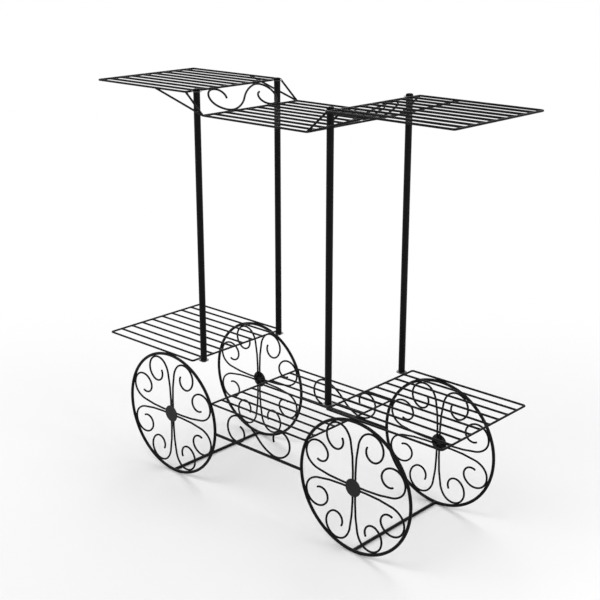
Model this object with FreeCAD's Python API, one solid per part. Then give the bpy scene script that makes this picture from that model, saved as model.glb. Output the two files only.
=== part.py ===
# Wire display stand shaped like a four-wheeled flower cart.
# Frame: millimetres, +Z up, ground at z = 0, long side along X, front face towards -Y.
# Four scrolled wheels stand on the ground and carry two side shelves, a lower shelf hangs
# between the wheels, and four posts carry three more shelves at the top.
# Every wire is a faceted bar whose flats lie on the round wire's surface, so bars that
# are welded side by side or end to end seat flat on each other. What repeats most has the
# fewest faces.
import FreeCAD
import Part
import os
from math import atan2, ceil, cos, degrees, hypot, pi, radians, sin, sqrt

V = FreeCAD.Vector
X_AXIS = V(1, 0, 0)
Y_AXIS = V(0, 1, 0)
Z_AXIS = V(0, 0, 1)

# ---- driving dimensions ----
GRILLE_WIRE = 3.8          # shelf frames and slats
SCROLL_WIRE = 3.7          # all scrolled wires
RIM_WIRE = 5.7             # wheel rims
CROSS_WIRE = 5.8           # floor bars between the front and rear wheels
STRETCHER_WIRE = 5.4       # bars between the left and right wheels
STRUT_WIRE = 3.7           # slanting braces under the top shelves

FRAME_Y = 117.5            # plane of the wheels and of every shelf's long bars
SLATS = 8                  # slats in a shelf
EDGE_GAP = 25.6            # from the outermost slat to the long bar beside it
CORNER_R = 3.5             # bend of a shelf frame's corner, on the wire's centreline

WHEEL_X = 226.4            # wheel hub from the middle of the cart
WHEEL_R = 118.25           # rim radius, on the wire's centreline
RIM_CHORDS = 32            # straight runs that a rim is drawn with
HUB_D = 32.5               # hub disc
HUB_T = 1.6
LEG_X = 2.85               # scroll leg beside the wheel's axis
LEG_CLEAR = 0.5            # gap between the feet of two crossing legs
LEG_END = 27.0             # where the leg starts to bend

# bends of a wheel scroll after its leg: radius, turn in degrees
WHEEL_BENDS = [(260.0, 11.9), (38.6, 27.8), (24.9, 200.15), (15.7, 149.6)]
# bends of the two halves of an S panel, from its middle: radius, turn in degrees
PANEL_HEADING = 45.2
PANEL_SHORT = [(77.6, 29.5), (37.7, 63.2), (21.3, 157.0), (15.2, 89.4)]
PANEL_LONG = [(97.7, 28.3), (28.2, 64.8), (22.7, 174.4), (13.8, 122.1)]
PANEL_W = 157.2            # S panel over its wire
PANEL_SINK = 1.5           # how deep an S panel is fused into the bars that it joins
LOWER_PANEL_X = 3.3        # middle of the lower S panels
CHORD_TURN = 30.0          # largest turn, in degrees, that one straight run of a bend takes

# faces round each kind of piece
BAR_SIDES = 8
SCROLL_SIDES = 6
SLAT_SIDES = 6
HUB_SIDES = 24
POST_SIDES = 16
WASHER_SIDES = 12
HEAD_SIDES = 10
HOLE_SIDES = 8

LOWER_OUT_X = 400.0        # outer end bar of a lower side shelf
UPPER_OUT_X = 399.1        # outer end bar of an upper side shelf
UPPER_MID_X = 119.2        # end bars of the upper middle shelf
LONG_STRUT_X = 241.0       # where a long strut meets the upper side shelf's long bar
MID_RISE = 50.95           # lower middle shelf above the hubs
MID_NOTCH = 2.4            # how deep that shelf's corners are notched by the rims
STRETCHER_DROP = 7.0       # stretchers below the hubs
TOP_RISE = 492.6           # upper side shelves above the lower ones
TOP_DROP = 36.1            # upper middle shelf below the upper side shelves

POST_X = 152.6
POST_INSET = 17.5          # posts inside the plane of the long bars
POST_D = 11.8
TOP_BAR_X = 8.4            # inner end bar of an upper side shelf beyond the post's axis
WASHER_D = 18.8
WASHER_T = 1.0
WASHER_PLAY = 1.2          # hole in a washer, over the screw
SCREW_D = 4.8
SCREW_PLAY = 0.2           # hole in a post's end, over the screw
SCREW_DEPTH = 14.0         # reach of a screw into the post's end
FOOT_HEAD_D = 11.0
FOOT_HEAD_H = 3.0
TOP_HEAD_D = 12.0
TOP_HEAD_H = 4.5
HEAD_EDGE = 0.8            # bevel of a screw head

# ---- sizes that follow ----
WHEEL_OUT = WHEEL_R + RIM_WIRE / 2
WHEEL_IN = WHEEL_R - RIM_WIRE / 2
HUB_Z = WHEEL_OUT
POST_Y = FRAME_Y - POST_INSET
LOWER_SIDE_Z = HUB_Z + WHEEL_OUT + GRILLE_WIRE / 2
LOWER_MID_Z = HUB_Z + MID_RISE
UPPER_SIDE_Z = LOWER_SIDE_Z + TOP_RISE
UPPER_MID_Z = UPPER_SIDE_Z - TOP_DROP
STRETCHER_Z = HUB_Z - STRETCHER_DROP
LOWER_IN_X = POST_X + WASHER_D / 2 + GRILLE_WIRE / 2
UPPER_IN_X = POST_X + TOP_BAR_X
RIM_HALF_CHORD = sqrt(WHEEL_OUT ** 2 - (MID_RISE - GRILLE_WIRE / 2) ** 2)
LOWER_MID_X = WHEEL_X - RIM_HALF_CHORD - GRILLE_WIRE / 2 + MID_NOTCH

os.makedirs("parts", exist_ok=True)


def save(name, shapes):
    """Write one node: a solid by itself or a group of solids."""
    shape = shapes[0]
    if len(shapes) > 1:
        shape = Part.makeCompound(shapes)
    shape.exportStep("parts/" + name + ".step")


def largest(shape):
    """The main solid that a cut leaves."""
    return max(shape.Solids, key=lambda solid: solid.Volume)


def ring_points(centre, a, b, diameter, sides):
    """Closed polygon round a wire of this diameter, with one flat facing a."""
    r = diameter / 2 / cos(pi / sides)
    pts = []
    for k in range(sides):
        t = (k + 0.5) * 2 * pi / sides
        pts.append(centre + a * (r * cos(t)) + b * (r * sin(t)))
    pts.append(pts[0])
    return pts


def bar(p, q, diameter, facing, sides=BAR_SIDES):
    """Straight bar from p to q with one of its flats facing the given way."""
    d = q.sub(p)
    d.normalize()
    b = d.cross(facing)
    b.normalize()
    a = b.cross(d)
    face = Part.Face(Part.makePolygon(ring_points(p, a, b, diameter, sides)))
    return face.extrude(q.sub(p))


def swept(points, diameter, normal, sides):
    """Bent wire along flat path points, mitred at each, with flats facing the normal."""
    d = points[1].sub(points[0])
    d.normalize()
    profile = Part.makePolygon(ring_points(points[0], normal, d.cross(normal), diameter, sides))
    path = Part.makePolygon(points)
    return path.makePipeShell([profile], True, False, 1)


def bend_points(start, heading, bends):
    """Path points in the XZ plane through runs (None, length) and bends (radius, turn)."""
    x, z = start
    h = radians(heading)
    pts = [V(x, 0, z)]
    for radius, turn in bends:
        if radius is None:
            x += turn * sin(h)
            z += turn * cos(h)
            pts.append(V(x, 0, z))
            continue
        runs = max(1, ceil(turn / CHORD_TURN))
        step = radians(turn) / runs
        chord = 2 * radius * sin(step / 2)
        for _ in range(runs):
            h += step / 2
            x += chord * sin(h)
            z += chord * cos(h)
            h += step / 2
            pts.append(V(x, 0, z))
    return pts


# ---- shelves ----
def shelf_frame(x0, x1, z):
    """Closed loop of wire with four tight corners."""
    xm = (x0 + x1) / 2
    pts = [V(xm, -FRAME_Y, z)]
    corners = [(x1, -FRAME_Y, -90), (x1, FRAME_Y, 0), (x0, FRAME_Y, 90), (x0, -FRAME_Y, 180)]
    for cx, cy, start in corners:
        mx = cx - CORNER_R if cx > xm else cx + CORNER_R
        my = cy - CORNER_R if cy > 0 else cy + CORNER_R
        for turn in (0, 45, 90):
            t = radians(start + turn)
            pts.append(V(mx + CORNER_R * cos(t), my + CORNER_R * sin(t), z))
    pts.append(pts[0])
    return swept(pts, GRILLE_WIRE, Z_AXIS, BAR_SIDES)


def shelf_slats(x0, x1, z):
    """Slats that butt on the inner flats of the two end bars."""
    slats = []
    for k in range(SLATS):
        y = (2 * k / (SLATS - 1) - 1) * (FRAME_Y - EDGE_GAP)
        p = V(x0 + GRILLE_WIRE / 2, y, z)
        q = V(x1 - GRILLE_WIRE / 2, y, z)
        slats.append(bar(p, q, GRILLE_WIRE, Z_AXIS, SLAT_SIDES))
    return slats


shelves = {
    "shelf_lower_left": (-LOWER_OUT_X, -LOWER_IN_X, LOWER_SIDE_Z),
    "shelf_lower_right": (LOWER_IN_X, LOWER_OUT_X, LOWER_SIDE_Z),
    "shelf_lower_middle": (-LOWER_MID_X, LOWER_MID_X, LOWER_MID_Z),
    "shelf_upper_left": (-UPPER_OUT_X, -UPPER_IN_X, UPPER_SIDE_Z),
    "shelf_upper_right": (UPPER_IN_X, UPPER_OUT_X, UPPER_SIDE_Z),
    "shelf_upper_middle": (-UPPER_MID_X, UPPER_MID_X, UPPER_MID_Z),
}
frames = {}
for name, (x0, x1, z) in shelves.items():
    frames[name] = shelf_frame(x0, x1, z)

# ---- wheels ----
rim_corner = WHEEL_R / cos(pi / RIM_CHORDS)
rim_path = [V(0, 0, WHEEL_R)]
for k in range(RIM_CHORDS):
    t = (k + 0.5) * 2 * pi / RIM_CHORDS
    rim_path.append(V(rim_corner * sin(t), 0, rim_corner * cos(t)))
rim_path.append(rim_path[0])
rim = swept(rim_path, RIM_WIRE, Y_AXIS, BAR_SIDES)


def wheel_scroll(scale):
    """One of a wheel's scrolls, from its foot beside the hub; the scale leaves the foot in place."""
    foot = LEG_X + SCROLL_WIRE / 2 / cos(pi / SCROLL_SIDES) + LEG_CLEAR
    bends = [(None, LEG_END * scale - foot)]
    bends += [(radius * scale, turn) for radius, turn in WHEEL_BENDS]
    return swept(bend_points((LEG_X, foot), 0, bends), SCROLL_WIRE, Y_AXIS, SCROLL_SIDES)


def rim_reach(solid):
    """How far the solid reaches towards the rim's inner flats, as a share of the way."""
    share = 0
    for v in solid.Vertexes:
        chord = 2 * pi / RIM_CHORDS
        off = (atan2(v.X, v.Z) + chord / 2) % chord - chord / 2
        share = max(share, hypot(v.X, v.Z) * cos(off) / WHEEL_IN)
    return share


fit = 1.0
for _ in range(4):
    scroll = wheel_scroll(fit)
    fit /= rim_reach(scroll)
scrolls = []
for hand in (scroll, scroll.mirror(V(0, 0, 0), X_AXIS)):
    for quarter in range(4):
        turned = hand.copy()
        turned.rotate(V(0, 0, 0), Y_AXIS, 90 * quarter)
        scrolls.append(turned)

rims = []
for side, sx in (("left", -1), ("right", 1)):
    for face, sy in (("front", -1), ("rear", 1)):
        hub = V(sx * WHEEL_X, sy * FRAME_Y, HUB_Z)
        wheel_rim = rim.translated(hub)
        rims.append(wheel_rim)
        name = "wheel_" + face + "_" + side
        save(name + "_rim", [wheel_rim])
        save(name + "_scrolls", [s.translated(hub) for s in scrolls])
        seat = hub + V(0, sy * SCROLL_WIRE / 2, 0)
        save(name + "_hub", [bar(seat, seat + V(0, sy * HUB_T, 0), HUB_D, Z_AXIS, HUB_SIDES)])

# the lower middle shelf is notched at its corners where it is welded to the rims
middle = frames["shelf_lower_middle"].cut(Part.makeCompound(rims))
frames["shelf_lower_middle"] = largest(middle)
for name, (x0, x1, z) in shelves.items():
    save(name + "_frame", [frames[name]])
    save(name + "_slats", shelf_slats(x0, x1, z))

# ---- floor bars and stretchers ----
floor_y = FRAME_Y - RIM_WIRE / 2
for side, sx in (("left", -1), ("right", 1)):
    p = V(sx * WHEEL_X, -floor_y, CROSS_WIRE / 2)
    q = V(sx * WHEEL_X, floor_y, CROSS_WIRE / 2)
    save("floor_bar_" + side, [bar(p, q, CROSS_WIRE, Z_AXIS)])

reach = WHEEL_X - WHEEL_OUT
stretchers = {}
for face, sy in (("front", -1), ("rear", 1)):
    p = V(-reach, sy * FRAME_Y, STRETCHER_Z)
    q = V(reach, sy * FRAME_Y, STRETCHER_Z)
    stretchers[face] = bar(p, q, STRETCHER_WIRE, Z_AXIS)
    save("stretcher_" + face, [stretchers[face]])


# ---- S panels, notched where they are fused into the bars that they join ----
def s_panel(gap):
    """S of bent wire in the XZ plane about the origin, fused into the bars of this gap."""
    short = bend_points((0, 0), PANEL_HEADING, PANEL_SHORT)
    long = bend_points((0, 0), PANEL_HEADING, PANEL_LONG)
    path = [V(-p.x, 0, -p.z) for p in reversed(short)] + long[1:]
    natural = Part.makePolygon(path).BoundBox
    across = (PANEL_W - SCROLL_WIRE) / natural.XLength
    height = gap + 2 * PANEL_SINK
    wire = SCROLL_WIRE
    for _ in range(3):
        up = (height - wire) / natural.ZLength
        points = [V(p.x * across, 0, p.z * up) for p in path]
        solid = swept(points, SCROLL_WIRE, Y_AXIS, SCROLL_SIDES)
        box = solid.BoundBox
        wire += box.ZLength - height
    solid.translate(V(0, 0, 0) - box.Center)
    return solid


low_z = STRETCHER_Z + STRETCHER_WIRE / 2
high_z = LOWER_MID_Z - GRILLE_WIRE / 2
panel = s_panel(high_z - low_z).mirror(V(0, 0, 0), X_AXIS)
for face, sy in (("front", -1), ("rear", 1)):
    placed = panel.translated(V(LOWER_PANEL_X, sy * FRAME_Y, (low_z + high_z) / 2))
    notched = largest(placed.cut([stretchers[face], frames["shelf_lower_middle"]]))
    save("s_panel_lower_" + face, [notched])

run = UPPER_IN_X - UPPER_MID_X
rise = UPPER_SIDE_Z - UPPER_MID_Z
panel = s_panel(hypot(run, rise) - GRILLE_WIRE)
# the panel's own width lies along Y and its height along the slant
panel.rotate(V(0, 0, 0), Z_AXIS, 90)
panel.rotate(V(0, 0, 0), Y_AXIS, -degrees(atan2(run, rise)))
panel.translate(V(-(UPPER_IN_X + UPPER_MID_X) / 2, 0, (UPPER_SIDE_Z + UPPER_MID_Z) / 2))
left = largest(panel.cut([frames["shelf_upper_left"], frames["shelf_upper_middle"]]))
save("s_panel_upper_left", [left])
right = left.copy()
right.rotate(V(0, 0, 0), Z_AXIS, 180)
save("s_panel_upper_right", [right])

# ---- struts, coped to the bars that they are welded to ----
for side, sx in (("left", -1), ("right", 1)):
    low_frame = frames["shelf_upper_middle"]
    high_frame = frames["shelf_upper_" + side]
    for face, sy in (("front", -1), ("rear", 1)):
        low = V(sx * UPPER_MID_X, sy * FRAME_Y, UPPER_MID_Z)
        near = V(sx * UPPER_IN_X, sy * FRAME_Y, UPPER_SIDE_Z)
        far = V(sx * LONG_STRUT_X, sy * FRAME_Y, UPPER_SIDE_Z)
        short = largest(bar(low, near, STRUT_WIRE, Y_AXIS).cut([low_frame, high_frame]))
        long = largest(bar(low, far, STRUT_WIRE, Y_AXIS).cut([low_frame, high_frame, short]))
        save("strut_short_" + face + "_" + side, [short])
        save("strut_long_" + face + "_" + side, [long])

# ---- posts with their washers and screws ----
post_z0 = LOWER_SIDE_Z + WASHER_T / 2
post_z1 = UPPER_SIDE_Z - WASHER_T / 2
washers_low = []
washers_high = []
screws_low = []
screws_high = []


def screw(head_d, head_h, seat_z, up):
    """Low-headed screw on the Z axis; its head starts at seat_z and grows the way of up."""
    seat = V(0, 0, seat_z)
    edge = V(0, 0, seat_z + up * (head_h - HEAD_EDGE))
    top = V(0, 0, seat_z + up * head_h)
    foot = V(0, 0, seat_z - up * (WASHER_T + SCREW_DEPTH))
    head = bar(seat, edge, head_d, X_AXIS, HEAD_SIDES)
    rim_low = Part.makePolygon(ring_points(edge, X_AXIS, Y_AXIS, head_d, HEAD_SIDES))
    rim_high = Part.makePolygon(ring_points(top, X_AXIS, Y_AXIS, head_d - 2 * HEAD_EDGE, HEAD_SIDES))
    bevel = Part.makeLoft([rim_low, rim_high], True, True)
    shank = bar(foot, seat, SCREW_D, X_AXIS, HOLE_SIDES)
    return head.fuse([bevel, shank]).removeSplitter()


def washer(z):
    """Washer centred on height z, with a flat towards the end bar that it is welded to."""
    p = V(0, 0, z - WASHER_T / 2)
    q = V(0, 0, z + WASHER_T / 2)
    hole = bar(p, q, SCREW_D + WASHER_PLAY, X_AXIS, HOLE_SIDES)
    return bar(p, q, WASHER_D, X_AXIS, WASHER_SIDES).cut(hole)


for side, sx in (("left", -1), ("right", 1)):
    for face, sy in (("front", -1), ("rear", 1)):
        at = V(sx * POST_X, sy * POST_Y, 0)
        low_end = V(0, 0, post_z0)
        high_end = V(0, 0, post_z1)
        post = bar(low_end, high_end, POST_D, X_AXIS, POST_SIDES)
        for end, depth in ((low_end, SCREW_DEPTH + 2), (high_end, -SCREW_DEPTH - 2)):
            bore_end = end + V(0, 0, depth)
            post = post.cut(bar(end, bore_end, SCREW_D + SCREW_PLAY, X_AXIS, HOLE_SIDES))
        save("post_" + face + "_" + side, [post.translated(at)])
        washers_low.append(washer(LOWER_SIDE_Z).translated(at))
        high = washer(UPPER_SIDE_Z).translated(at).cut(frames["shelf_upper_" + side])
        washers_high.append(largest(high))
        foot = screw(FOOT_HEAD_D, FOOT_HEAD_H, LOWER_SIDE_Z - WASHER_T / 2, -1)
        screws_low.append(foot.translated(at))
        top = screw(TOP_HEAD_D, TOP_HEAD_H, UPPER_SIDE_Z + WASHER_T / 2, 1)
        screws_high.append(top.translated(at))
save("post_washers_lower", washers_low)
save("post_washers_upper", washers_high)
save("post_screws_lower", screws_low)
save("post_screws_upper", screws_high)
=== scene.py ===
"""Flower cart display stand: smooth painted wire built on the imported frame.

Metres, +Z up, ground at z = 0. Every wire takes its place and thickness from the CAD node
that it stands for; only the bends of the scrolled wires are written here.
"""
import math
import random

import bpy
from mathutils import Matrix, Vector

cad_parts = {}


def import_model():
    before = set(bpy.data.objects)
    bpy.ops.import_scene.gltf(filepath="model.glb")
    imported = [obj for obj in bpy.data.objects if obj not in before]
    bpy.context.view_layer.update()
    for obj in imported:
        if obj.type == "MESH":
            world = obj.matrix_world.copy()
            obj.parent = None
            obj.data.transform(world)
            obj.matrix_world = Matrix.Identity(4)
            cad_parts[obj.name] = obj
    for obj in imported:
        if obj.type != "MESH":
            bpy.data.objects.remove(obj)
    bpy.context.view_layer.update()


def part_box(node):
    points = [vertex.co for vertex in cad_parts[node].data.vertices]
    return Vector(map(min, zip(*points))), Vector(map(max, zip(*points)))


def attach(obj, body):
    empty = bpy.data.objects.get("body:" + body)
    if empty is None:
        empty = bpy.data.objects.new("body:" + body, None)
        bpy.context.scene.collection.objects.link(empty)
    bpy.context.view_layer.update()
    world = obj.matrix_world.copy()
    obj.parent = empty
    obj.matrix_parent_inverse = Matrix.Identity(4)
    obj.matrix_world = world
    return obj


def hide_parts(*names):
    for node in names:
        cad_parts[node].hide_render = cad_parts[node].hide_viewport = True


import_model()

MM = 0.001
X_AXIS = Vector((1, 0, 0))
Y_AXIS = Vector((0, 1, 0))
Z_AXIS = Vector((0, 0, 1))

# ---- sizes that the frame does not give, in metres ----
CORNER_R = 3.5 * MM            # bend of a shelf frame's corner
LEG_X = 2.85 * MM              # scroll leg beside the wheel's axis
LEG_FOOT = 5.5 * MM            # where the leg starts
LEG_END = 27.0 * MM            # where it starts to bend
# bends of a wheel scroll after its leg: radius in millimetres, turn in degrees
WHEEL_BENDS = [(260.0, 11.9), (38.6, 27.8), (24.9, 200.15), (15.7, 149.6)]
# bends of the two halves of an S panel, from its middle
PANEL_HEADING = 45.2
PANEL_SHORT = [(77.6, 29.5), (37.7, 63.2), (21.3, 157.0), (15.2, 89.4)]
PANEL_LONG = [(97.7, 28.3), (28.2, 64.8), (22.7, 174.4), (13.8, 122.1)]
PANEL_SINK = 1.5 * MM          # how deep an S panel is fused into the bars that it joins
SLATS = 8                      # slats in a shelf
SCROLL_BITE = 0.15 * MM        # how deep a scroll is pressed into its rim
DISC_EDGE = 0.35 * MM          # broken edges of the hub discs, posts and washers
POST_EDGE = 0.5 * MM
WASHER_EDGE = 0.2 * MM

# shapes of small details, as shares of the wire's or the head's radius
END_TIP = 0.35                 # length of a wire's dressed end
END_ROUND = [(0.0, 0.99), (0.6, 0.90), (1.0, 0.72)]   # its reach and girth, from the wire on
BEAD_STRETCH = 1.25            # a weld bead's length over its girth
BEAD_UNEVEN = 0.1              # how far its girth wanders
SLAT_BEAD = 1.12               # sizes of the weld beads
SCROLL_BEAD = 0.75
ROD_BEAD = 0.95
STRUT_BEAD = 1.1
STRUT_BEAD_AT = 2.4            # from the end of a strut's middle line
ROD_SINK = 1 / 3               # how deep a rod's end goes into its rim
HEAD_DOME = [(1.0, 0.0), (1.0, 0.45), (0.93, 0.72), (0.78, 0.9), (0.5, 0.985), (0.2, 1.0)]

# ---- fineness of the meshes ----
BEND_STEP = 6.0                # degrees of a bend per run of tube
CORNER_STEP = 15               # degrees per run of a shelf frame's corner
WIRE_SIDES = 14
ROD_SIDES = 20
TURNED_SIDES = 32              # posts and screw heads
DISC_SIDES = 48                # hub discs and washers
BEAD_SIDES = 8
BEAD_ROWS = 5
RIM_RUNS = 144
SHARP_ANGLE = 40               # degrees past which an edge is shaded sharp

# ---- camera ----
CAMERA_AT = Vector((1.34003, -1.45925, 1.01406))
CAMERA_AZIMUTH = math.radians(-42.635)
CAMERA_DOWN = math.radians(18.01)
CAMERA_LENS = 69.89
SENSOR = 36.0                  # millimetres, as the lens


# ---- materials ----
CLOUD_SCALE = 55.0             # waves per metre of the colour's clouds
PATCH_SCALE = 140.0            # waves per metre of the uneven gloss
DULLER = 0.08                  # how far the roughness wanders up and down
GLOSSIER = 0.06
SKIN_DEPTH = 0.0004            # metres


def node(tree, kind, at, **inputs):
    """A shader node with some of its inputs set."""
    made = tree.nodes.new(kind)
    made.location = at
    for name, value in inputs.items():
        made.inputs[name.replace("_", " ")].default_value = value
    return made


def noise(tree, at, coords, scale, detail=3.0):
    """Noise on object coordinates; its scale is in waves per metre."""
    made = node(tree, "ShaderNodeTexNoise", at, Scale=scale, Detail=detail, Roughness=0.55)
    tree.links.new(coords.outputs["Object"], made.inputs["Vector"])
    return made


def ramp(tree, at, source, stops):
    """A colour ramp from a noise output."""
    made = tree.nodes.new("ShaderNodeValToRGB")
    made.location = at
    first, last = made.color_ramp.elements
    first.position, first.color = stops[0][0], (*stops[0][1], 1)
    last.position, last.color = stops[-1][0], (*stops[-1][1], 1)
    for position, colour in stops[1:-1]:
        extra = made.color_ramp.elements.new(position)
        extra.color = (*colour, 1)
    tree.links.new(source, made.inputs["Fac"])
    return made


def coated_metal(name, low, high, rough, specular, metallic=0.0, grain=900.0, peel=0.05):
    """Coated or plated metal: colour from low to high, uneven gloss and a skin of this grain."""
    material = bpy.data.materials.new(name)
    material.use_nodes = True
    tree = material.node_tree
    shader = tree.nodes["Principled BSDF"]
    shader.inputs["Metallic"].default_value = metallic
    shader.inputs["Specular IOR Level"].default_value = specular
    coords = tree.nodes.new("ShaderNodeTexCoord")
    coords.location = (-1100, 0)
    cloud = noise(tree, (-850, 200), coords, CLOUD_SCALE)
    colour = ramp(tree, (-600, 200), cloud.outputs["Fac"], [(0.35, low), (0.65, high)])
    tree.links.new(colour.outputs["Color"], shader.inputs["Base Color"])
    patch = noise(tree, (-850, -100), coords, PATCH_SCALE)
    gloss = tree.nodes.new("ShaderNodeMapRange")
    gloss.location = (-600, -100)
    gloss.inputs["To Min"].default_value = rough - GLOSSIER
    gloss.inputs["To Max"].default_value = rough + DULLER
    tree.links.new(patch.outputs["Fac"], gloss.inputs["Value"])
    tree.links.new(gloss.outputs["Result"], shader.inputs["Roughness"])
    skin = noise(tree, (-850, -400), coords, grain, 2.0)
    bump = node(tree, "ShaderNodeBump", (-600, -400), Strength=peel, Distance=SKIN_DEPTH)
    tree.links.new(skin.outputs["Fac"], bump.inputs["Height"])
    tree.links.new(bump.outputs["Normal"], shader.inputs["Normal"])
    return material


BLACK = coated_metal("black_powder_coat", (0.0030, 0.0030, 0.0032), (0.0050, 0.0050, 0.0053),
                     0.42, 0.07)
# hub discs: the stand's black coat made glossier (real), with its colour raised a little above
# the coat's as painted sheen
DISC_BLACK_PAINTED_SHEEN = coated_metal("black_disc_coat_painted_sheen", (0.0040, 0.0040, 0.0042), (0.0065, 0.0065, 0.0068),
                          0.36, 0.20)
SCREW_BLACK = coated_metal("black_screw_finish", (0.0025, 0.0025, 0.0027),
                           (0.0045, 0.0045, 0.0048), 0.50, 0.02, grain=2200.0, peel=0.03)
WASHER_ZINC = coated_metal("dull_zinc", (0.045, 0.045, 0.047), (0.07, 0.07, 0.073),
                           0.45, 0.5, metallic=0.6, grain=2600.0, peel=0.04)


# ---- mesh building ----
RANDOM = random.Random(7)


def path_directions(points, closed):
    """Unit direction of the path at each of its points."""
    out = []
    count = len(points)
    for i in range(count):
        before = points[i - 1] if closed or i else points[0]
        after = points[(i + 1) % count] if closed or i < count - 1 else points[-1]
        out.append((after - before).normalized())
    return out


def add_tube(mesh, points, radius, flat, sides=WIRE_SIDES, closed=False):
    """Round tube along a flat path; flat is the normal of the plane that it lies in."""
    verts, faces = mesh
    rings = []
    directions = path_directions(points, closed)
    stations = [(p, d, radius) for p, d in zip(points, directions)]
    if not closed:
        tip = END_TIP * radius
        first, last = stations[0], stations[-1]
        start = [(first[0] - first[1] * tip * k, first[1], radius * r) for k, r in END_ROUND]
        end = [(last[0] + last[1] * tip * k, last[1], radius * r) for k, r in END_ROUND]
        stations = start[::-1] + stations + end
    for centre, direction, r in stations:
        side = direction.cross(flat)
        base = len(verts)
        for k in range(sides):
            t = 2 * math.pi * k / sides
            verts.append(centre + flat * (r * math.cos(t)) + side * (r * math.sin(t)))
        rings.append(base)
    pairs = list(zip(rings, rings[1:]))
    if closed:
        pairs.append((rings[-1], rings[0]))
    for a, b in pairs:
        for k in range(sides):
            n = (k + 1) % sides
            faces.append((a + k, b + k, b + n, a + n))
    if not closed:
        faces.append(tuple(rings[0] + k for k in range(sides)))
        faces.append(tuple(rings[-1] + k for k in reversed(range(sides))))


def add_bar(mesh, p, q, radius, sides=WIRE_SIDES, buried=0.0):
    """Straight round bar from p to q, each end pushed this far into what it is welded to."""
    d = (q - p).normalized()
    flat = d.orthogonal().normalized()
    add_tube(mesh, [p - d * buried, q + d * buried], radius, flat, sides)


def add_turned(mesh, profile, at, sides=DISC_SIDES, axis=Z_AXIS, cut_x=None):
    """Body of revolution from (radius, height) pairs; cut_x trims it at a plane across X."""
    verts, faces = mesh
    side = axis.orthogonal().normalized()
    other = axis.cross(side)
    rings = []
    for r, h in profile:
        base = len(verts)
        for k in range(sides):
            t = 2 * math.pi * k / sides
            v = at + side * (r * math.cos(t)) + other * (r * math.sin(t)) + axis * h
            if cut_x and (v.x - cut_x) * cut_x > 0:
                v.x = cut_x
            verts.append(v)
        rings.append(base)
    for a, b in zip(rings, rings[1:]):
        for k in range(sides):
            n = (k + 1) % sides
            faces.append((a + k, a + n, b + n, b + k))
    faces.append(tuple(rings[0] + k for k in reversed(range(sides))))
    faces.append(tuple(rings[-1] + k for k in range(sides)))


def add_bead(mesh, at, along, size):
    """Small weld bead: a squashed, slightly uneven ball drawn out along a direction."""
    verts, faces = mesh
    side = along.orthogonal().normalized()
    other = along.cross(side)
    reach = BEAD_STRETCH * size
    rings = []
    for i in range(1, BEAD_ROWS):
        a = math.pi * i / BEAD_ROWS
        base = len(verts)
        for k in range(BEAD_SIDES):
            t = 2 * math.pi * k / BEAD_SIDES
            r = size * math.sin(a) * RANDOM.uniform(1 - BEAD_UNEVEN, 1 + BEAD_UNEVEN)
            verts.append(at + along * (reach * math.cos(a))
                         + side * (r * math.cos(t)) + other * (r * math.sin(t)))
        rings.append(base)
    top, bottom = len(verts), len(verts) + 1
    verts.append(at + along * reach)
    verts.append(at - along * reach)
    for a, b in zip(rings, rings[1:]):
        for k in range(BEAD_SIDES):
            n = (k + 1) % BEAD_SIDES
            faces.append((a + k, b + k, b + n, a + n))
    for k in range(BEAD_SIDES):
        n = (k + 1) % BEAD_SIDES
        faces.append((top, rings[0] + k, rings[0] + n))
        faces.append((bottom, rings[-1] + n, rings[-1] + k))


def piece(name, mesh, material, slot, *nodes):
    """Object from a mesh that stands for CAD nodes and rides with the stand."""
    data = bpy.data.meshes.new(name)
    data.from_pydata([tuple(v) for v in mesh[0]], [], mesh[1])
    data.validate()
    for polygon in data.polygons:
        polygon.use_smooth = True
    data.set_sharp_from_angle(angle=math.radians(SHARP_ANGLE))
    data.materials.append(material)
    made = bpy.data.objects.new(name, data)
    bpy.context.collection.objects.link(made)
    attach(made, "root")
    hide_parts(*nodes)
    return made


def painted(name, mesh, *nodes):
    """Piece in the stand's black coat."""
    return piece(name, mesh, BLACK, "black_paint", *nodes)


def bend_points(start, heading, bends):
    """Flat path as (across, up) pairs through runs (None, length) and bends (radius, turn)."""
    x, z = start
    h = math.radians(heading)
    pts = [(x, z)]
    for radius, turn in bends:
        if radius is None:
            x += turn * math.sin(h)
            z += turn * math.cos(h)
            pts.append((x, z))
            continue
        runs = max(2, math.ceil(turn / BEND_STEP))
        step = math.radians(turn) / runs
        chord = 2 * radius * MM * math.sin(step / 2)
        for _ in range(runs):
            h += step / 2
            x += chord * math.sin(h)
            z += chord * math.cos(h)
            h += step / 2
            pts.append((x, z))
    return pts


def centre(box):
    return (box[0] + box[1]) / 2


def size(box):
    return box[1] - box[0]


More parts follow.
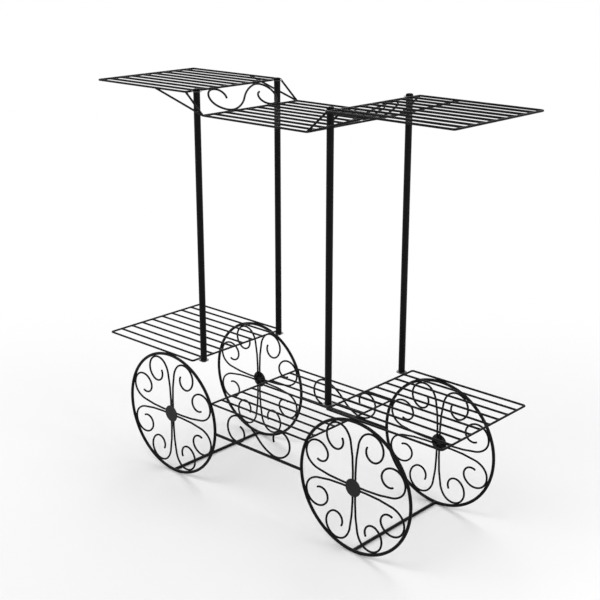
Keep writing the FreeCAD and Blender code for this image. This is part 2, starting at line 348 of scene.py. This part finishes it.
# ---- shelves ----
def shelf(name):
    """Frame loop and slats, with a small bead where each slat is welded to an end bar."""
    low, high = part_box(name + "_frame")
    radius = (high.z - low.z) / 2
    z = (low.z + high.z) / 2
    x0, x1 = low.x + radius, high.x - radius
    y0, y1 = low.y + radius, high.y - radius
    loop = []
    corners = [(x1 - CORNER_R, y0 + CORNER_R, -90), (x1 - CORNER_R, y1 - CORNER_R, 0),
               (x0 + CORNER_R, y1 - CORNER_R, 90), (x0 + CORNER_R, y0 + CORNER_R, 180)]
    for cx, cy, start in corners:
        for turn in range(0, 91, CORNER_STEP):
            t = math.radians(start + turn)
            loop.append(Vector((cx + CORNER_R * math.cos(t), cy + CORNER_R * math.sin(t), z)))
    mesh = ([], [])
    add_tube(mesh, loop, radius, Z_AXIS, closed=True)
    painted(name + "_loop", mesh, name + "_frame")

    mesh = ([], [])
    slat_low, slat_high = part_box(name + "_slats")
    slat_r = (slat_high.z - slat_low.z) / 2
    first_y, last_y = slat_low.y + slat_r, slat_high.y - slat_r
    for k in range(SLATS):
        y = first_y + (last_y - first_y) * k / (SLATS - 1)
        add_bar(mesh, Vector((x0, y, z)), Vector((x1, y, z)), slat_r)
        for x, inward in ((x0, 1), (x1, -1)):
            add_bead(mesh, Vector((x + inward * radius, y, z)), Y_AXIS, SLAT_BEAD * slat_r)
    painted(name + "_bars", mesh, name + "_slats")


for place in ("lower_left", "lower_middle", "lower_right", "upper_left", "upper_middle",
              "upper_right"):
    shelf("shelf_" + place)


# ---- wheels ----
def wheel(name, outward):
    """Rim, eight scrolled wires and the hub disc on the wheel's outer face."""
    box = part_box(name + "_rim")
    hub = centre(box)
    rod_r = size(box).y / 2
    rim_r = size(box).z / 2 - rod_r
    ring = []
    for k in range(RIM_RUNS):
        t = 2 * math.pi * k / RIM_RUNS
        ring.append(hub + Vector((rim_r * math.sin(t), 0, rim_r * math.cos(t))))
    mesh = ([], [])
    add_tube(mesh, ring, rod_r, Y_AXIS, ROD_SIDES, closed=True)
    painted(name + "_ring", mesh, name + "_rim")

    wire_r = size(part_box(name + "_scrolls")).y / 2
    bends = [(None, LEG_END - LEG_FOOT)] + WHEEL_BENDS
    path = bend_points((LEG_X, LEG_FOOT), 0, bends)
    reach = max(math.hypot(x, z) for x, z in path)
    top = max(path, key=lambda p: math.hypot(*p))
    fit = (rim_r - rod_r - wire_r + SCROLL_BITE) / reach
    mesh = ([], [])
    for hand in (-1, 1):
        for quarter in range(4):
            turn = Matrix.Rotation(math.pi / 2 * quarter, 3, "Y")
            points = [hub + turn @ Vector((hand * x * fit, 0, z * fit)) for x, z in path]
            add_tube(mesh, points, wire_r, Y_AXIS)
            touch = turn @ Vector((hand * top[0], 0, top[1]))
            along = touch.cross(Y_AXIS).normalized()
            weld = hub + touch.normalized() * (rim_r - rod_r)
            add_bead(mesh, weld, along, SCROLL_BEAD * wire_r)
    painted(name + "_wires", mesh, name + "_scrolls")

    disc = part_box(name + "_hub")
    disc_r = size(disc).z / 2
    thick = size(disc).y
    foot = centre(disc) - outward * (thick / 2)
    edge = DISC_EDGE
    inner_r = disc_r - 4 * edge    # a ring that keeps the face's shading flat
    profile = [(disc_r - edge, 0), (disc_r, edge), (disc_r, thick - edge),
               (disc_r - edge, thick), (inner_r, thick)]
    mesh = ([], [])
    add_turned(mesh, profile, foot, axis=outward)
    # the disc's black is lighter than the coat's as painted sheen
    piece(name + "_disc", mesh, DISC_BLACK_PAINTED_SHEEN, "black_paint", name + "_hub")


for face, outward in (("front", -Y_AXIS), ("rear", Y_AXIS)):
    for side in ("left", "right"):
        wheel("wheel_" + face + "_" + side, outward)


# ---- straight rods ----
def rod(name, axis):
    """Round rod along one axis in the place of a CAD bar."""
    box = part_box(name)
    mid = centre(box)
    reach = size(box).dot(axis) / 2
    radius = size(box).z / 2
    mesh = ([], [])
    add_bar(mesh, mid - axis * reach, mid + axis * reach, radius, ROD_SIDES, ROD_SINK * radius)
    for end in (-1, 1):
        across = X_AXIS if axis is Y_AXIS else Y_AXIS
        add_bead(mesh, mid + axis * (end * reach), across, ROD_BEAD * radius)
    painted(name + "_rod", mesh, name)


for side in ("left", "right"):
    rod("floor_bar_" + side, Y_AXIS)
for face in ("front", "rear"):
    rod("stretcher_" + face, X_AXIS)


# ---- S panels ----
def s_curve(gap, wide, wire):
    """Middle line of an S about its own middle, fused into the bars of this gap."""
    short = bend_points((0, 0), PANEL_HEADING, PANEL_SHORT)
    long = bend_points((0, 0), PANEL_HEADING, PANEL_LONG)
    path = [(-x, -z) for x, z in reversed(short)] + long[1:]
    right, left = max(x for x, z in path), min(x for x, z in path)
    top, bottom = max(z for x, z in path), min(z for x, z in path)
    across = (wide - wire) / (right - left)
    lift = (gap + 2 * PANEL_SINK - wire) / (top - bottom)
    return [((x - (right + left) / 2) * across, (z - (top + bottom) / 2) * lift)
            for x, z in path]


WIRE = size(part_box("s_panel_lower_front")).y
gap_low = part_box("stretcher_front")[1].z
gap_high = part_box("shelf_lower_middle_frame")[0].z
curve = s_curve(gap_high - gap_low, size(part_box("s_panel_lower_front")).x, WIRE)
for face in ("front", "rear"):
    name = "s_panel_lower_" + face
    mid = centre(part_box(name))
    mid.z = (gap_low + gap_high) / 2
    mesh = ([], [])
    add_tube(mesh, [mid + Vector((-x, 0, z)) for x, z in curve], WIRE / 2, Y_AXIS)
    painted(name + "_wire", mesh, name)

for side, sx in (("left", -1), ("right", 1)):
    name = "s_panel_upper_" + side
    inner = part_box("shelf_upper_" + side + "_frame")
    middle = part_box("shelf_upper_middle_frame")
    radius = size(middle).z / 2
    bar_x = inner[1].x - radius if sx < 0 else inner[0].x + radius
    high = Vector((bar_x, 0, centre(inner).z))
    low = Vector((sx * (middle[1].x - radius), 0, centre(middle).z))
    up = (high - low).normalized()
    mid = (high + low) / 2
    curve = s_curve((high - low).length - 2 * radius, size(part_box(name)).y, WIRE)
    mesh = ([], [])
    points = [mid + Y_AXIS * x + up * z for x, z in curve]   # the two sides mirror each other
    add_tube(mesh, points, WIRE / 2, up.cross(Y_AXIS))
    painted(name + "_wire", mesh, name)


# ---- struts ----
def strut(name, low, high):
    """Slanting brace between two bars, its ends sunk in their welds."""
    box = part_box(name)
    mesh = ([], [])
    radius = size(box).y / 2
    add_bar(mesh, low, high, radius)
    along = (high - low).normalized()
    for end, way in ((low, along), (high, -along)):
        add_bead(mesh, end + way * STRUT_BEAD_AT * radius, Y_AXIS, STRUT_BEAD * radius)
    painted(name + "_bar", mesh, name)


for face, sy in (("front", -1), ("rear", 1)):
    for side, sx in (("left", -1), ("right", 1)):
        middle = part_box("shelf_upper_middle_frame")
        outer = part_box("shelf_upper_" + side + "_frame")
        radius = size(middle).z / 2
        y = sy * (middle[1].y - radius)
        low = Vector((sx * (middle[1].x - radius), y, centre(middle).z))
        near_x = outer[1].x - radius if sx < 0 else outer[0].x + radius
        near = Vector((near_x, y, centre(outer).z))
        far_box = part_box("strut_long_" + face + "_" + side)
        far_x = far_box[0].x if sx < 0 else far_box[1].x
        far = Vector((far_x, y, centre(outer).z))
        strut("strut_short_" + face + "_" + side, low, near)
        strut("strut_long_" + face + "_" + side, low, far)


# ---- posts, washers and screws ----
def post(name):
    """Round tube with softly rounded ends."""
    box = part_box(name)
    mid = centre(box)
    radius = size(box).y / 2
    length = size(box).z
    foot = Vector((mid.x, mid.y, box[0].z))
    edge = POST_EDGE
    profile = [(radius - edge, 0), (radius, edge), (radius, length / 2), (radius, length - edge),
               (radius - edge, length)]
    mesh = ([], [])
    add_turned(mesh, profile, foot, sides=TURNED_SIDES)
    painted(name + "_tube", mesh, name)
    return mid, radius


posts = []
for face in ("front", "rear"):
    for side in ("left", "right"):
        posts.append(post("post_" + face + "_" + side))

for level in ("lower", "upper"):
    name = "post_washers_" + level
    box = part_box(name)
    thick = size(box).z
    washer_r = box[1].y - posts[-1][0].y
    edge = WASHER_EDGE
    profile = [(washer_r - edge, 0), (washer_r, edge), (washer_r, thick - edge),
               (washer_r - edge, thick)]
    mesh = ([], [])
    for mid, radius in posts:
        side = "left" if mid.x < 0 else "right"
        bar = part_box("shelf_" + level + "_" + side + "_frame")
        wall = bar[1].x if mid.x < 0 else bar[0].x
        add_turned(mesh, profile, Vector((mid.x, mid.y, box[0].z)), cut_x=wall)
    piece(name + "_discs", mesh, WASHER_ZINC, "zinc_washer", name)

    name = "post_screws_" + level
    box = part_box(name)
    head_r = box[1].y - posts[-1][0].y
    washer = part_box("post_washers_" + level)
    up = level == "upper"
    height = box[1].z - washer[1].z if up else washer[0].z - box[0].z
    profile = [(head_r * r, height * h) for r, h in HEAD_DOME]
    mesh = ([], [])
    for mid, radius in posts:
        seat = washer[1].z if up else washer[0].z
        axis = Z_AXIS if up else -Z_AXIS
        add_turned(mesh, profile, Vector((mid.x, mid.y, seat)), sides=TURNED_SIDES, axis=axis)
    piece(name + "_heads", mesh, SCREW_BLACK, "black_screw", name)


# ---- floor, backdrop, lights and camera ----
WORLD_LIGHT = 0.30             # the surroundings' part of the light
FLOOR_TONE = (0.96, 0.96, 0.96)
FLOOR_SIZE = 60
FADE_START = 0.5               # metres from the stand's middle
FADE_END = 1.3


def seen(tree):
    """1 for rays from the camera, a reflection or a see-through surface, 0 for lighting rays."""
    path = tree.nodes.new("ShaderNodeLightPath")
    total = None
    for ray in ("Is Camera Ray", "Is Glossy Ray", "Is Transmission Ray"):
        if total is None:
            total = path.outputs[ray]
            continue
        either = tree.nodes.new("ShaderNodeMath")
        either.operation = "MAXIMUM"
        tree.links.new(total, either.inputs[0])
        tree.links.new(path.outputs[ray], either.inputs[1])
        total = either.outputs["Value"]
    return total


def floor():
    """Pale floor that keeps the stand's shadow and is seen fading to white away from it.

    It is clear from below, so that the stand's underside can be looked at.
    """
    bpy.ops.mesh.primitive_plane_add(size=FLOOR_SIZE)
    made = bpy.context.object
    made.name = "studio_floor"
    material = bpy.data.materials.new("pale_floor")
    material.use_nodes = True
    tree = material.node_tree
    shader = tree.nodes["Principled BSDF"]
    shader.inputs["Base Color"].default_value = (*FLOOR_TONE, 1)
    shader.inputs["Roughness"].default_value = 0.9
    shader.inputs["Specular IOR Level"].default_value = 0.0
    coords = tree.nodes.new("ShaderNodeTexCoord")
    away = tree.nodes.new("ShaderNodeVectorMath")
    away.operation = "LENGTH"
    tree.links.new(coords.outputs["Object"], away.inputs[0])
    fade = tree.nodes.new("ShaderNodeMapRange")
    fade.interpolation_type = "SMOOTHSTEP"
    fade.inputs["From Min"].default_value = FADE_START
    fade.inputs["From Max"].default_value = FADE_END
    tree.links.new(away.outputs["Value"], fade.inputs["Value"])
    share = tree.nodes.new("ShaderNodeMath")
    share.operation = "MULTIPLY"
    tree.links.new(fade.outputs["Result"], share.inputs[0])
    tree.links.new(seen(tree), share.inputs[1])
    white = tree.nodes.new("ShaderNodeEmission")
    white.inputs["Color"].default_value = (1, 1, 1, 1)
    white.inputs["Strength"].default_value = 1.0
    mix = tree.nodes.new("ShaderNodeMixShader")
    tree.links.new(share.outputs["Value"], mix.inputs["Fac"])
    tree.links.new(shader.outputs["BSDF"], mix.inputs[1])
    tree.links.new(white.outputs["Emission"], mix.inputs[2])
    face = tree.nodes.new("ShaderNodeNewGeometry")
    clear = tree.nodes.new("ShaderNodeBsdfTransparent")
    either_side = tree.nodes.new("ShaderNodeMixShader")
    tree.links.new(face.outputs["Backfacing"], either_side.inputs["Fac"])
    tree.links.new(mix.outputs["Shader"], either_side.inputs[1])
    tree.links.new(clear.outputs["BSDF"], either_side.inputs[2])
    tree.links.new(either_side.outputs["Shader"], tree.nodes["Material Output"].inputs["Surface"])
    made.data.materials.append(material)


def world():
    """Even surroundings that are seen as white and light the stand softly."""
    sky = bpy.data.worlds.new("studio")
    bpy.context.scene.world = sky
    sky.use_nodes = True
    tree = sky.node_tree
    background = tree.nodes["Background"]
    background.inputs["Color"].default_value = (1, 1, 1, 1)
    strength = tree.nodes.new("ShaderNodeMapRange")
    strength.inputs["To Min"].default_value = WORLD_LIGHT
    strength.inputs["To Max"].default_value = 1.0
    tree.links.new(seen(tree), strength.inputs["Value"])
    tree.links.new(strength.outputs["Result"], background.inputs["Strength"])


def lamp(azimuth, rise, reach, width, share):
    """Soft round lamp aimed at the stand's foot; share is its part of the floor's light."""
    around, above = math.radians(azimuth), math.radians(rise)
    at = reach * Vector((math.cos(above) * math.cos(around), math.cos(above) * math.sin(around),
                         math.sin(above)))
    data = bpy.data.lights.new("lamp", "AREA")
    data.shape = "DISK"
    data.size = width
    data.energy = share * (math.pi * reach) ** 2 / math.sin(above)
    made = bpy.data.objects.new("lamp", data)
    made.location = at
    made.rotation_euler = (-at).to_track_quat("-Z", "Y").to_euler()
    bpy.context.collection.objects.link(made)


floor()
world()
# azimuth from +X, rise above the floor, distance, width, share of the floor's light
lamp(270, 58, 2.6, 1.4, 0.193)
lamp(90, 58, 2.6, 1.4, 0.150)
lamp(225, 32, 2.4, 1.2, 0.103)
lamp(135, 32, 2.4, 1.2, 0.136)
lamp(0, 32, 2.4, 1.2, 0.183)

camera_data = bpy.data.cameras.new("camera")
camera_data.lens = CAMERA_LENS
camera_data.sensor_width = SENSOR
camera_data.clip_end = 100     # metres, past the floor's far edge
camera = bpy.data.objects.new("camera", camera_data)
forward = Vector((math.sin(CAMERA_AZIMUTH) * math.cos(CAMERA_DOWN),
                  math.cos(CAMERA_AZIMUTH) * math.cos(CAMERA_DOWN), -math.sin(CAMERA_DOWN)))
right = Vector((math.cos(CAMERA_AZIMUTH), -math.sin(CAMERA_AZIMUTH), 0))
up = right.cross(forward)
pose = Matrix((right, up, -forward)).transposed().to_4x4()
pose.translation = CAMERA_AT
camera.matrix_world = pose
bpy.context.collection.objects.link(camera)
bpy.context.scene.camera = camera
bpy.context.scene.view_settings.view_transform = "Standard"
